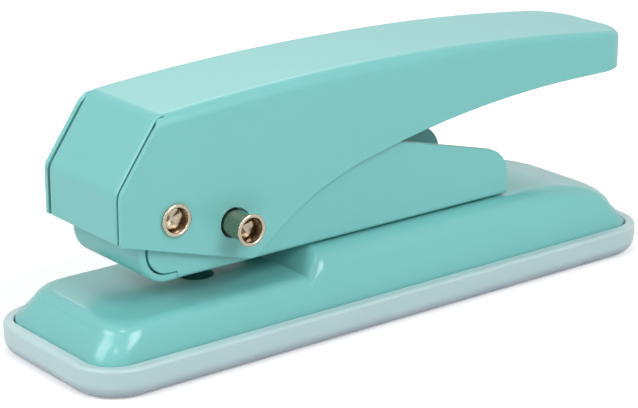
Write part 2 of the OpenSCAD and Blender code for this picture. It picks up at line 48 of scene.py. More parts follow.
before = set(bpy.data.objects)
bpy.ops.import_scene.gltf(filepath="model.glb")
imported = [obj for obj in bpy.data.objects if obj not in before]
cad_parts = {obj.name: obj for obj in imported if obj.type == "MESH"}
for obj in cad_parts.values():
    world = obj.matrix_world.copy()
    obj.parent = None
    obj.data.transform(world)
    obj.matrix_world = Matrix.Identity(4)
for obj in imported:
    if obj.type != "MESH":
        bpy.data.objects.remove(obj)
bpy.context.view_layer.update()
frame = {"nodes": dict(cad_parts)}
MM = 0.001
# Distance in millimetres below which two places count as one
TOUCH = 1e-3
# Points round a hole
HOLE_STEPS = 48
# Steps round a bend of the sheet
BEND_STEPS = 8
# Angle between faces from which an edge is sharp
SHARP = math.radians(40)
# Name and roughness of the two enamels
SATIN = ("Satin stoved enamel", 0.34)
GLOSS = ("Glossy stoved enamel", 0.2)
# A pattern that isn't drawn out along any axis
EVEN = (1.0, 1.0, 1.0)
WHITE = (1.0, 1.0, 1.0, 1.0)


def node_box(node):
    """Lowest and highest corner of a CAD node, in millimetres."""
    low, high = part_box(node)
    return Vector(low) / MM, Vector(high) / MM


def node_middle(node):
    """Middle of a CAD node's box, in millimetres."""
    low, high = node_box(node)
    return (low + high) / 2


TRAY_LOW, TRAY_HIGH = node_box("chip_tray")
BASE_LOW, BASE_HIGH = node_box("base_shell")
LEVER_LOW, LEVER_HIGH = node_box("lever")
FRAME_LOW, FRAME_HIGH = node_box("frame_channel")
PIVOT = node_middle("pivot_rivet")
PUNCH = node_middle("punch_pin")


def length(name, description, size):
    """A size in millimetres as a Blender length."""
    return FloatProperty(name=name, description=description, default=size * MM, unit="LENGTH", precision=5)


def colour(name, description, code):
    """A colour as an sRGB hex value."""
    return StringProperty(name=name, description=description, default=code)


class TraySizes(bpy.types.PropertyGroup):
    """Sizes of the moulded chip tray"""
    long: length("Length", "Length over the tray", TRAY_HIGH.x - TRAY_LOW.x)
    wide: length("Width", "Width over the tray", TRAY_HIGH.y - TRAY_LOW.y)
    high: length("Height", "Height of the rim", TRAY_HIGH.z)
    corner: length("Corner", "Corner radius in plan", 8.5)
    under_round: length("Lower edge", "Radius of the lower edge", 2.6)
    rim_round: length("Rim edge", "Radius of the rim's outer edge", 0.55)
    rim: length("Rim", "Width of the rim round the base", 2.2)
    rim_corner: length("Opening corner", "Corner radius of the opening", 5.05)
    wall: length("Wall", "Thickness of the outer wall", 1.3)
    floor: length("Floor", "Thickness of the floor", 1.2)
    lip: length("Lip", "Thickness of the lip", 1.1)
    lip_round: length("Lip edge", "Radius of the lip's upper edge", 0.3)


class BaseSizes(bpy.types.PropertyGroup):
    """Sizes of the pressed base"""
    long: length("Length", "Length over the base's foot", BASE_HIGH.x - BASE_LOW.x)
    wide: length("Width", "Width over the base's foot", BASE_HIGH.y - BASE_LOW.y)
    foot: length("Foot", "Height of the base's lower edge", BASE_LOW.z)
    skirt: length("Skirt", "Height where the walls start to lean in", 5.6)
    deck: length("Front deck", "Height of the deck the paper lies on", 10.6)
    seat: length("Rear deck", "Height of the deck, with a dark line under the frame", FRAME_LOW.z - 0.3)
    corner: length("Corner", "Corner radius in plan", 5.2)
    front_round: length("Front shoulder", "Radius of the shoulder at the front deck", 2.6)
    rear_round: length("Rear shoulder", "Radius of the shoulder at the rear deck", 4.7)
    side_lean: length("Side lean", "Inward lean of the side walls", 1.3)
    front_lean: length("Front lean", "Inward lean of the front wall", 2.8)
    rear_lean: length("Rear lean", "Inward lean of the rear wall", 2.0)
    stop: length("Stop", "Place of the paper stop's foot", -16.5)
    stop_run: length("Stop run", "Length of the paper stop from its foot to its crest", 3.5)
    tail: length("Tail", "Place where the rear deck starts to fall", 34.4)
    tail_bend: length("Tail bend", "Length over which the rear deck bends down", 14.0)
    tail_fall: FloatProperty(name="Tail fall", description="Slope of the rear deck's end", default=0.25)
    die_hole: length("Die hole", "Radius of the hole for the die", 4.218)
    sheet: length("Sheet", "Thickness of the sheet", 1.0)


class FrameSizes(bpy.types.PropertyGroup):
    """Sizes of the folded frame, above its underside"""
    wide: length("Width", "Width over the walls", FRAME_HIGH.y - FRAME_LOW.y)
    sheet: length("Sheet", "Thickness of the sheet", 1.2)
    bend: length("Bend", "Outer radius of the lower bends, which are coined sharp inside", 0.8)
    edge: length("Edge", "Rounding of the sheet's cut edges under the paint", 0.16)
    nose_round: length("Nose", "Outer radius of the curled nose", 5.25)
    nose_floor: length("Nose floor", "Length of the flat floor between the curl and the slits' ends", 1.8)
    flap: length("Flap", "Height of the nose flap", 6.9)
    seam: length("Seam", "Gap between the nose flap and the walls at the bend", 0.16)
    seam_top: length("Seam top", "Gap between the nose flap and the walls at the top", 0.5)
    flap_edge: length("Flap edge", "Rounding of the nose flap's sides", 0.45)
    front: length("Front", "Height of the walls' front corner", 15.5)
    front_round: length("Front radius", "Radius of the walls' front corner", 5.0)
    peak: length("Peak", "Height of the walls' peak", 19.05)
    peak_ahead: length("Peak place", "Distance of the peak ahead of the rear end", 43.8)
    peak_round: length("Peak radius", "Radius of the walls' peak", 20.0)
    rear: length("Rear", "Height of the rear end", 7.8)
    rear_round: length("Rear radius", "Radius of the rear end's top corner", 5.6)
    pin_hole: length("Pin holes", "Radius of the holes for the two pins", 2.35)
    pin_run: length("Pin run", "Length by which the drive pin's holes are drawn out downwards", 2.67)
    guide_hole: length("Guide hole", "Radius of the hole for the guide bush", 4.22)
    rivet_hole: length("Rivet holes", "Radius of the holes for the two rivets", 2.02)


class LeverSizes(bpy.types.PropertyGroup):
    """Sizes of the folded lever, about its pivot"""
    wide: length("Width", "Width over the side walls", LEVER_HIGH.y - LEVER_LOW.y)
    nose: length("Nose", "Distance from the pivot to the front face", PIVOT.x - LEVER_LOW.x)
    rear: length("Reach", "Distance from the pivot to the hand end", LEVER_HIGH.x - PIVOT.x)
    crown: length("Crown", "Height of the crown above the pivot", 18.83)
    crown_at: length("Crown place", "Distance of the crown behind the pivot", 39.2)
    crown_round: length("Crown radius", "Radius of the crowned top", 460.0)
    sheet: length("Sheet", "Thickness of the sheet", 0.85)
    bend: length("Bend", "Outer radius of the long bends", 2.2)
    hand_bend: length("Hand bend", "Outer radius of the bends at the hand end", 1.4)
    tighten_at: length("Tighter from", "Distance behind the pivot where the bends start to get tighter", 40.0)
    tighten_run: length("Tighter over", "Length over which the bends get tighter", 36.0)
    edge: length("Edge", "Rounding of the sheet's cut edges under the paint", 0.14)
    top_fold: length("Top fold", "Distance of the top fold ahead of the pivot", 2.1)
    top_round: length("Top fold radius", "Radius of the top fold", 2.5)
    fold: length("Nose fold", "Height of the fold in the front face", 5.7)
    fold_round: length("Nose fold radius", "Radius of the fold in the front face", 3.0)
    drop: length("Drop", "Depth of the front face below the pivot", 2.5)
    hand: length("Hand edge", "Height of the hand end's lower edge", 8.3)
    hand_corner: length("Hand corner", "Corner radius of the hand end in plan", 7.5)
    hand_round: length("Hand round", "Radius of the hand end's lower corner", 3.0)
    lobe_back: length("Lobe", "Distance of the lobe's corner behind the pivot", 15.4)
    lobe_down: length("Lobe depth", "Depth of the lobe's corner below the pivot", 9.9)
    lobe_round: length("Lobe radius", "Radius of the lobe's corner", 2.4)
    arch_at: length("Arch", "Distance behind the pivot where the lower edge's arch ends", 86.2)
    arch_round: length("Arch radius", "Radius of the lower edge's arch", 200.0)
    arch_turn: FloatProperty(name="Arch turn", description="Angle by which the arch turns",
                             default=math.radians(13.5), subtype="ANGLE")
    neck: length("Neck", "Distance from the arch's corner to the neck's", 36.0)
    neck_round: length("Neck radius", "Radius of the neck between arch and lobe", 50.0)
    pivot_hole: length("Pivot hole", "Radius of the pivot rivet's holes", 2.32)
    drive_hole: length("Drive hole", "Radius of the drive pin's holes", 2.5)
    drive_run: length("Drive run", "Length by which the drive pin's holes are drawn out", 0.92)


class PinSizes(bpy.types.PropertyGroup):
    """Sizes of the two hollow pins"""
    pivot_shank: length("Pivot shank", "Diameter of the pivot rivet's shank", 4.6)
    pivot_flange: length("Pivot flange", "Thickness of the pivot rivet's flanges", 0.6)
    drive_shank: length("Drive shank", "Diameter of the drive pin's shank", 4.5)
    drive_flange: length("Drive flange", "Thickness of the drive pin's flanges", 0.45)
    pivot_cup: length("Pivot hollow", "Depth of the pivot rivet's hollow ends", 1.7)
    drive_cup: length("Drive hollow", "Depth of the drive pin's hollow ends", 2.6)
    cup: length("Hollow", "Radius of the hollow ends", 2.05)
    lip: length("Lip", "Width and depth of the bright lip inside the hollow ends", 0.3)
    burr: length("Burr", "Raggedness of the set flanges", 0.07)


class SpringSizes(bpy.types.PropertyGroup):
    """Sizes of the return spring"""
    wire: length("Wire", "Diameter of the wire", 1.1)
    curls: IntProperty(name="Curls", description="Number of curls", default=8)
    end_pitch: length("End pitch", "Rise of the first and the last curl", 1.8)


class Finishes(bpy.types.PropertyGroup):
    """Colours of the finishes"""
    enamel: colour("Enamel", "Paint on the lever, the frame and the base", "#74BDBA")
    tray: colour("Tray", "Milky plastic of the chip tray", "#B6CDCF")
    # Painted shade: the darker colour of the tray's lower edge stands for the shade on its rounded underside
    tray_low: colour("Tray's lower edge", "Milky plastic where it is thick, at the lower edge", "#9DABB5")
    nickel: colour("Nickel", "Plating of the pins", "#C6BAA6")
    # Painted shade: this dark brown stands for the shade inside the pins' hollow ends and on their shanks
    hollow: colour("Hollow", "Thin plating inside the pins' hollow ends", "#6B553C")
    tool: colour("Tool steel", "Ground steel of the punch and its guide", "#B9BABB")
    plain: colour("Plain steel", "Rivets, spacer and spring cup", "#9A9C9D")
    wire: colour("Spring wire", "Drawn wire of the return spring", "#A3A29E")
    floor: colour("Floor", "Paper the punch stands on", "#F4F4F4")


class HolePunchSettings(bpy.types.PropertyGroup):
    """All sizes and colours of the hole punch"""
    tray: PointerProperty(type=TraySizes)
    base: PointerProperty(type=BaseSizes)
    frame: PointerProperty(type=FrameSizes)
    lever: PointerProperty(type=LeverSizes)
    pins: PointerProperty(type=PinSizes)
    spring: PointerProperty(type=SpringSizes)
    finish: PointerProperty(type=Finishes)


def in_mm(group):
    """The sizes of a property group, its lengths in millimetres."""
    sizes = SimpleNamespace()
    for name in type(group).__annotations__:
        value = getattr(group, name)
        is_length = group.bl_rna.properties[name].unit == "LENGTH"
        setattr(sizes, name, value / MM if is_length else value)
    return sizes


# Materials


def linear(code):
    """Linear RGBA of an sRGB hex value."""
    parts = [int(code[i:i + 2], 16) / 255 for i in (1, 3, 5)]
    return [p / 12.92 if p <= 0.04045 else ((p + 0.055) / 1.055) ** 2.4 for p in parts] + [1.0]


def add(tree, kind, values=None, links=None, **settings):
    """Adds one node: settings go on the node, values on its sockets, and links lead outputs into it."""
    node = tree.nodes.new(kind)
    for name, value in settings.items():
        setattr(node, name, value)
    for socket, value in (values or {}).items():
        node.inputs[socket].default_value = value
    for socket, source in (links or {}).items():
        tree.links.new(source, node.inputs[socket])
    return node


def new_material(name):
    """An empty material with its output, and the Object coordinates its patterns read."""
    material = bpy.data.materials.new(name)
    material.use_nodes = True
    tree = material.node_tree
    tree.nodes.clear()
    place = add(tree, "ShaderNodeTexCoord").outputs["Object"]
    return material, tree, place


def per_metre(size):
    """Texture scale that gives features of about that size in millimetres."""
    return 1 / (size * MM)


def stoved_enamel(name, code, roughness):
    """Sprayed and stoved enamel on steel: an even colour, a clear skin and the spray's faint orange peel."""
    material, tree, place = new_material(name)
    # Orange peel is about 1.5 mm across and only a few micrometres deep
    skin = add(tree, "ShaderNodeTexNoise", {"Scale": per_metre(1.5), "Detail": 2.0}, {"Vector": place})
    bump = add(tree, "ShaderNodeBump", {"Strength": 0.2, "Distance": 0.02 * MM},
               {"Height": skin.outputs["Fac"]})
    # The film is a little thicker in places, which shifts the colour by a hair over some centimetres
    film = add(tree, "ShaderNodeTexNoise", {"Scale": per_metre(25.0), "Detail": 1.0}, {"Vector": place})
    tone = add(tree, "ShaderNodeMapRange", {"To Min": 0.97, "To Max": 1.03}, {"Value": film.outputs["Fac"]})
    tint = add(tree, "ShaderNodeHueSaturation", {"Color": linear(code)}, {"Value": tone.outputs["Result"]})
    # Fine dust in the paint breaks the shine slightly
    dust = add(tree, "ShaderNodeTexNoise", {"Scale": per_metre(0.4), "Detail": 3.0}, {"Vector": place})
    shine = add(tree, "ShaderNodeMapRange", {"To Min": roughness - 0.03, "To Max": roughness + 0.03},
                {"Value": dust.outputs["Fac"]})
    paint = add(tree, "ShaderNodeBsdfPrincipled", {"IOR": 1.5},
                {"Base Color": tint.outputs["Color"], "Roughness": shine.outputs["Result"],
                 "Normal": bump.outputs["Normal"]})
    add(tree, "ShaderNodeOutputMaterial", links={"Surface": paint.outputs["BSDF"]})
    return material


def milky_plastic(name, code, low_shade_code):
    """Moulded soft polypropylene: milky, so light goes some way in and what is behind it tints it."""
    material, tree, place = new_material(name)
    # Painted shade: the colour darkens towards the lower edge, where the rounded underside turns down into
    # shade; above it the tray's tint partly stands in for the teal base showing through the milky wall
    height = add(tree, "ShaderNodeSeparateXYZ", links={"Vector": place}).outputs["Z"]
    share = add(tree, "ShaderNodeMapRange", {"From Min": 0.6 * MM, "From Max": 2.8 * MM}, {"Value": height},
                interpolation_type="SMOOTHSTEP")
    tint_with_shade = add(tree, "ShaderNodeMix", {6: linear(low_shade_code), 7: linear(code)},
                    {0: share.outputs["Result"]}, data_type="RGBA")
    # Cloudiness of the melt, some millimetres wide
    cloud = add(tree, "ShaderNodeTexNoise", {"Scale": per_metre(6.0), "Detail": 2.0}, {"Vector": place})
    tone = add(tree, "ShaderNodeMapRange", {"To Min": 0.98, "To Max": 1.02}, {"Value": cloud.outputs["Fac"]})
    tint = add(tree, "ShaderNodeHueSaturation",
               links={"Color": tint_with_shade.outputs[2], "Value": tone.outputs["Result"]})
    # The mould was lightly blasted, in grains of about 0.3 mm
    grain = add(tree, "ShaderNodeTexNoise", {"Scale": per_metre(0.3), "Detail": 2.0}, {"Vector": place})
    bump = add(tree, "ShaderNodeBump", {"Strength": 0.06, "Distance": 0.02 * MM},
               {"Height": grain.outputs["Fac"]})
    body = add(tree, "ShaderNodeBsdfPrincipled",
               {"Roughness": 0.38, "IOR": 1.49, "Subsurface Weight": 1.0,
                "Subsurface Radius": (1.0, 1.0, 1.0), "Subsurface Scale": 0.8 * MM},
               {"Base Color": tint.outputs["Color"], "Normal": bump.outputs["Normal"]})
    add(tree, "ShaderNodeOutputMaterial", links={"Surface": body.outputs["BSDF"]})
    return material


def bare_metal(name, code, roughness, line, stretch, hollow_shade_code=None):
    """Bare or plated metal: machining or drawing left fine lines along one way, and handling a dull tone."""
    material, tree, place = new_material(name)
    # Lines of the given width in millimetres, drawn out along the axis with the small stretch
    along = add(tree, "ShaderNodeMapping", {"Scale": stretch}, {"Vector": place})
    lines = add(tree, "ShaderNodeTexNoise", {"Scale": per_metre(line), "Detail": 3.0},
                {"Vector": along.outputs["Vector"]})
    shine = add(tree, "ShaderNodeMapRange", {"To Min": roughness * 0.7, "To Max": roughness * 1.4},
                {"Value": lines.outputs["Fac"]})
    # Dull patches a few millimetres wide
    patch = add(tree, "ShaderNodeTexNoise", {"Scale": per_metre(2.5), "Detail": 2.0}, {"Vector": place})
    tone = add(tree, "ShaderNodeMapRange", {"To Min": 0.85, "To Max": 1.08}, {"Value": patch.outputs["Fac"]})
    tint = add(tree, "ShaderNodeHueSaturation", {"Color": linear(code)}, {"Value": tone.outputs["Result"]})
    skin = tint.outputs["Color"]
    if hollow_shade_code:
        # Painted shade: the hollow attribute mixes in a dark brown that stands for the shade and dim bounced
        # light inside the hollow ends and on the shank behind the flanges
        inside = add(tree, "ShaderNodeAttribute", attribute_name="hollow")
        skin = add(tree, "ShaderNodeMix", {7: linear(hollow_shade_code)}, {0: inside.outputs["Fac"], 6: skin},
                   data_type="RGBA").outputs[2]
    bump = add(tree, "ShaderNodeBump", {"Strength": 0.15, "Distance": 0.01 * MM},
               {"Height": lines.outputs["Fac"]})
    metal = add(tree, "ShaderNodeBsdfPrincipled", {"Metallic": 1.0},
                {"Base Color": skin, "Roughness": shine.outputs["Result"], "Normal": bump.outputs["Normal"]})
    add(tree, "ShaderNodeOutputMaterial", links={"Surface": metal.outputs["BSDF"]})
    return material


def painted(context, name, roughness):
    """The enamel of that gloss, mixed once and shared by the pieces that wear it."""
    code = context.scene.hole_punch.finish.enamel
    return bpy.data.materials.get(name) or stoved_enamel(name, code, roughness)


# Shapes


def verts_of(geom):
    """The vertices among some geometry."""
    return [item for item in geom if isinstance(item, bmesh.types.BMVert)]


def edges_of(geom):
    """The edges among some geometry."""
    return [item for item in geom if isinstance(item, bmesh.types.BMEdge)]


def even_steps(start, stop, steps):
    """Values from start to stop in even steps."""
    return [start + (stop - start) * i / steps for i in range(steps + 1)]


def quarter_turns(steps):
    """Turns from 0 to 90 degrees in even steps, in radians."""
    return even_steps(0, math.pi / 2, steps)


def soft_step(share):
    """A share from 0 to 1 that starts and ends softly."""
    share = min(1, max(0, share))
    return share ** 2 * (3 - 2 * share)


def turn_out(bm, place, way):
    """Makes the normals agree, and turns them all so that the face nearest a place looks a given way."""
    bmesh.ops.recalc_face_normals(bm, faces=bm.faces)
    nearest = min(bm.faces, key=lambda face: (face.calc_center_median() - place).length)
    if nearest.normal.dot(way) < 0:
        bmesh.ops.reverse_faces(bm, faces=bm.faces)


def round_off(bm, geom, radius, segments, affect="EDGES"):
    """Rounds edges or corners by a radius."""
    bmesh.ops.bevel(bm, geom=geom, offset=radius, offset_type="OFFSET", segments=segments, profile=0.5,
                    affect=affect, clamp_overlap=False, material=-1)


def ease_edges(bm, radius, keep=None):
    """Rounds the sharp edges, as paint or tumbling leaves them."""
    sharp = [edge for edge in bm.edges
             if edge.is_manifold and edge.calc_face_angle() > SHARP
             and (keep is None or keep(edge))]
    round_off(bm, sharp, radius, 2)


def finish_piece(name, bm, material, body, nodes):
    """Turns a mesh in millimetres into a shaded piece that rides on its body in place of its CAD nodes."""
    bmesh.ops.scale(bm, vec=(MM, MM, MM), verts=bm.verts)
    mesh = bpy.data.meshes.new(name)
    bm.to_mesh(mesh)
    bm.free()
    mesh.materials.append(material)
    mesh.shade_smooth()
    mesh.set_sharp_from_angle(angle=math.radians(50))
    obj = bpy.data.objects.new(name, mesh)
    bpy.context.scene.collection.objects.link(obj)
    even = obj.modifiers.new("Even shading", "WEIGHTED_NORMAL")
    even.keep_sharp = True
    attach(obj, body)
    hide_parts(*nodes)
    return obj


def dress_node(node, material, edge):
    """Gives a CAD node its finish, and eases its sharp edges."""
    obj = frame["nodes"][node]
    obj.data.materials.clear()
    obj.data.materials.append(material)
    weld = obj.modifiers.new("Joined faces", "WELD")
    weld.merge_threshold = 0.002 * MM
    bevel = obj.modifiers.new("Eased edges", "BEVEL")
    bevel.width = edge * MM
    bevel.segments = 2
    bevel.limit_method = "ANGLE"
    bevel.angle_limit = SHARP
    bevel.use_clamp_overlap = False
    even = obj.modifiers.new("Even shading", "WEIGHTED_NORMAL")
    even.keep_sharp = True


def arc(bm, start, middle, axis, angle, steps):
    """Draws an arc from a vertex and gives back its vertices in order."""
    before = set(bm.verts)
    bmesh.ops.spin(bm, geom=[start], cent=middle, axis=axis, angle=angle, steps=steps)
    fresh = [vert for vert in bm.verts if vert not in before]
    turn = [(Matrix.Rotation(angle * i / steps, 3, axis) @ (start.co - middle) + middle)
            for i in range(1, steps + 1)]
    return [start] + [min(fresh, key=lambda vert: (vert.co - spot).length) for spot in turn]


def trace(bm, corners, y):
    """Draws a line in the XZ plane through corners of (x, z, radius). The two end corners only lead it."""
    line = []
    spots = [Vector((x, y, z)) for x, z, r in corners]
    for i in range(1, len(corners) - 1):
        radius = corners[i][2]
        here = spots[i]
        if radius == 0:
            line.append(bm.verts.new(here))
            continue
        before = (spots[i - 1] - here).normalized()
        after = (spots[i + 1] - here).normalized()
        half = before.angle(after) / 2
        middle = here + (before + after).normalized() * radius / math.sin(half)
        start = bm.verts.new(here + before * radius / math.tan(half))
        stop = here + after * radius / math.tan(half)
        axis = (start.co - middle).cross(stop - middle).normalized()
        line += arc(bm, start, middle, axis, math.pi - 2 * half, 12)
    return line


def cut_hole(bm, face, line_at, up, rim):
    """Cuts a hole into a flat face along a line across it. Two of the rim's points lie on the line."""
    cut = bmesh.ops.bisect_plane(bm, geom=[face] + list(face.edges) + list(face.verts),
                                 plane_co=line_at, plane_no=(1, 0, 0), dist=1e-5)
    edge = max(edges_of(cut["geom_cut"]), key=lambda item: item.calc_length())
    low, high = sorted(edge.verts, key=lambda vert: vert.co.dot(up))
    on_line = sorted((spot for spot in rim if abs(spot.x - line_at.x) < TOUCH), key=lambda spot: spot.dot(up))
    bottom, top = on_line[0], on_line[-1]
    edge, low_vert = bmesh.utils.edge_split(edge, low, (bottom - low.co).length / edge.calc_length())
    upper = next(item for item in low_vert.link_edges if high in item.verts)
    share = (top - low_vert.co).length / upper.calc_length()
    upper, high_vert = bmesh.utils.edge_split(upper, low_vert, share)
    middle = next(item for item in low_vert.link_edges if high_vert in item.verts)
    halves = []
    for side_face in list(middle.link_faces):
        side = 1 if side_face.calc_center_median().x > line_at.x else -1
        spots = [spot for spot in rim if (spot.x - line_at.x) * side > TOUCH]
        spots.sort(key=lambda spot: -(spot - (bottom + top) / 2).normalized().dot(up))
        made = bmesh.utils.face_split(side_face, high_vert, low_vert, coords=spots)[0]
        halves.append(min((side_face, made), key=lambda item: item.calc_area()))
    bmesh.ops.delete(bm, geom=halves, context="FACES")


def flat_face(bm, axis, spot):
    """The largest flat face across an axis that lies round a spot."""
    return max((face for face in bm.faces if abs(abs(face.normal[axis]) - 1) < 1e-3
                and abs(face.calc_center_median()[axis] - spot[axis]) < TOUCH
                and min(vert.co.x for vert in face.verts) < spot.x - 1
                and max(vert.co.x for vert in face.verts) > spot.x + 1),
               key=lambda face: face.calc_area())


def floor_hole(bm, face, centre, radius):
    """Cuts a round hole into a level face."""
    turns = even_steps(0, math.tau, HOLE_STEPS)[:-1]
    rim = [centre + Vector((math.sin(turn), math.cos(turn), 0)) * radius for turn in turns]
    cut_hole(bm, face, centre, Vector((0, 1, 0)), rim)


def side_hole(bm, centre, radius, way=Vector((0, 0, -1)), run=0.0):
    """Cuts a hole into a side wall, drawn out one way. Its top and bottom keep their place in x."""
    rim = []
    for turn in even_steps(0, math.tau, HOLE_STEPS)[:-1]:
        spoke = Vector((math.sin(turn), 0, math.cos(turn)))
        spot = centre + spoke * radius
        if spoke.dot(way) > 0.01:
            spot += way * run * (1 if abs(way.x) < 0.01 else spoke.dot(way))
        rim.append(spot)
    for spot in (rim[0], rim[HOLE_STEPS // 2]):
        spot.x = centre.x
    cut_hole(bm, flat_face(bm, 1, centre), centre, Vector((0, 0, 1)), rim)


def draw_on(bm, geom, way):
    """Draws edges on by a straight run, and gives back the new edges and vertices."""
    made = bmesh.ops.extrude_edge_only(bm, edges=edges_of(geom))["geom"]
    verts = verts_of(made)
    bmesh.ops.translate(bm, vec=way, verts=verts)
    return verts + [edge for edge in edges_of(made) if set(edge.verts) <= set(verts)]


def ring_spots(half_l, half_w, radius, z, steps):
    """Points round a rounded rectangle, from its front right corner on."""
    spots = []
    for x, y, start in ((-1, -1, 180), (1, -1, 270), (1, 1, 0), (-1, 1, 90)):
        for turn in quarter_turns(steps):
            turn += math.radians(start)
            spots.append(Vector((x * (half_l - radius) + radius * math.cos(turn),
                                 y * (half_w - radius) + radius * math.sin(turn), z)))
    return spots


def closed_line(bm, spots):
    """Draws a closed line and gives back its vertices and edges."""
    verts = [bm.verts.new(spot) for spot in spots]
    edges = [bm.edges.new((verts[i - 1], verts[i])) for i in range(len(verts))]
    return verts, edges


def raise_ring(bm, verts, edges, spots):
    """Draws a ring of edges on to new places, and gives back the new ring in the same order."""
    made = bmesh.ops.extrude_edge_only(bm, edges=edges)["geom"]
    fresh = set(verts_of(made))
    ring = [next(edge.other_vert(vert) for edge in vert.link_edges if edge.other_vert(vert) in fresh)
            for vert in verts]
    for vert, spot in zip(ring, spots):
        vert.co = spot
    return ring, [edge for edge in edges_of(made) if set(edge.verts) <= fresh]


# Pieces


class HOLEPUNCH_OT_tray(bpy.types.Operator):
    """Builds the milky chip tray that clips round the base"""
    bl_idname = "holepunch.tray"
    bl_label = "Chip tray"

    def execute(self, context):
        sizes = in_mm(context.scene.hole_punch.tray)
        high, under, rim, rim_corner = sizes.high, sizes.under_round, sizes.rim, sizes.rim_corner
        rim_round, lip_round = sizes.rim_round, sizes.lip_round

        def ring(inset, z, radius=None):
            """Points round the tray, that far in from its outside."""
            return ring_spots(sizes.long / 2 - inset, sizes.wide / 2 - inset,
                              sizes.corner - inset if radius is None else radius, z, 14)

        # Up the outside, over the rim and the lip, under the lip and down to the floor
        levels = [ring(under * (1 - math.sin(turn)), under * (1 - math.cos(turn)))
                  for turn in quarter_turns(8)[1:]]
        levels += [ring(rim_round * (1 - math.cos(turn)), high - rim_round * (1 - math.sin(turn)))
                   for turn in quarter_turns(5)]
        levels += [ring(rim - lip_round * (1 - math.sin(turn)), high - lip_round * (1 - math.cos(turn)),
                        rim_corner + lip_round * (1 - math.sin(turn))) for turn in quarter_turns(3)]
        levels += [ring(rim, high - sizes.lip, rim_corner), ring(sizes.wall, high - sizes.lip),
                   ring(sizes.wall, under), ring(rim, under, rim_corner), ring(rim, sizes.floor, rim_corner)]
        bm = bmesh.new()
        verts, edges = closed_line(bm, ring(under, 0))
        bm.faces.new(verts)
        for spots in levels:
            verts, edges = raise_ring(bm, verts, edges, spots)
        bm.faces.new(verts)
        turn_out(bm, Vector((0, 0, 0)), Vector((0, 0, -1)))
        finish = context.scene.hole_punch.finish
        # The tray's lower edge gets its darker colour as painted shade
        plastic = milky_plastic("Moulded milky polypropylene", finish.tray, finish.tray_low)
        finish_piece("chip_tray_moulding", bm, plastic, "tray", ["chip_tray"])
        return {"FINISHED"}


class HOLEPUNCH_OT_base(bpy.types.Operator):
    """Builds the deep drawn base with its paper stop"""
    bl_idname = "holepunch.base"
    bl_label = "Base"

    def execute(self, context):
        sizes = in_mm(context.scene.hole_punch.base)
        half_l, half_w = sizes.long / 2, sizes.wide / 2
        deck, seat, corner = sizes.deck, sizes.seat, sizes.corner
        stop, stop_run, crest = sizes.stop, sizes.stop_run, sizes.stop + sizes.stop_run
        tail, tail_bend, tail_fall = sizes.tail, sizes.tail_bend, sizes.tail_fall
        rear_end = half_l - sizes.rear_lean - corner - sizes.rear_round

        def height(x):
            """Height of the decks, the paper stop and the tail along the base."""
            if x < stop:
                return deck
            if x < crest:
                return deck + (seat - deck) * math.sin(math.pi / 2 * (x - stop) / stop_run)
            if x < tail:
                return seat
            if x < tail + tail_bend:
                return seat - tail_fall * (x - tail) ** 2 / (2 * tail_bend)
            return seat - tail_fall * (x - tail - tail_bend / 2)

        def shoulder(x):
            """Radius of the shoulder along the base."""
            share = (height(min(x, rear_end)) - deck) / (seat - deck)
            return sizes.front_round + (sizes.rear_round - sizes.front_round) * share

        places = even_steps(stop, crest, 28)
        places += even_steps(crest, tail, 6)[1:-1]
        places += even_steps(tail, rear_end, 18)
        bows = quarter_turns(12)

        def level(lean, turn, z=None):
            """Points round the base: the far side from front to rear, then the near side back."""
            def inset(x):
                return shoulder(x) * (1 - math.cos(turn))
            wide = half_w - sizes.side_lean * lean
            front = sizes.front_lean * lean + inset(-half_l) + corner - half_l
            rear = half_l - sizes.rear_lean * lean - inset(rear_end) - corner
            side = [(front - corner * math.cos(bow), wide - inset(-half_l) - corner * (1 - math.sin(bow)))
                    for bow in bows]
            side += [(x, wide - inset(x)) for x in places]
            side += [(rear + corner * math.sin(bow), wide - inset(rear_end) - corner * (1 - math.cos(bow)))
                     for bow in bows]
            spots = side + [(x, -y) for x, y in reversed(side)]
            drop = 1 - math.sin(turn)
            return [Vector((x, y, height(x) - shoulder(x) * drop if z is None else z)) for x, y in spots]

        bm = bmesh.new()
        verts, edges = closed_line(bm, level(0, 0, sizes.foot))
        verts, edges = raise_ring(bm, verts, edges, level(0, 0, sizes.skirt))
        # The leaning walls run into the shoulder 20 degrees up its curve
        for turn in even_steps(math.radians(20), math.pi / 2, 12):
            verts, edges = raise_ring(bm, verts, edges, level(1, turn))
        far_side = set(verts[:len(verts) // 2])
        long_sides = [edge for edge in edges if (edge.verts[0] in far_side) == (edge.verts[1] in far_side)]
        bmesh.ops.bridge_loops(bm, edges=long_sides)
        # The front deck is one flat face, with the die's hole in it
        flat = [face for face in bm.faces if face.normal.z ** 2 > 0.99
                and all(abs(vert.co.z - deck) < TOUCH for vert in face.verts)]
        front_deck = bmesh.ops.dissolve_faces(bm, faces=flat)["region"][0]
        floor_hole(bm, front_deck, Vector((PUNCH.x, 0, deck)), sizes.die_hole)
        turn_out(bm, Vector((0, 0, seat)), Vector((0, 0, 1)))
        bmesh.ops.solidify(bm, geom=bm.faces[:], thickness=sizes.sheet)
        gloss = painted(context, *GLOSS)
        finish_piece("base_pressing", bm, gloss, "stand", ["base_shell"])
        return {"FINISHED"}


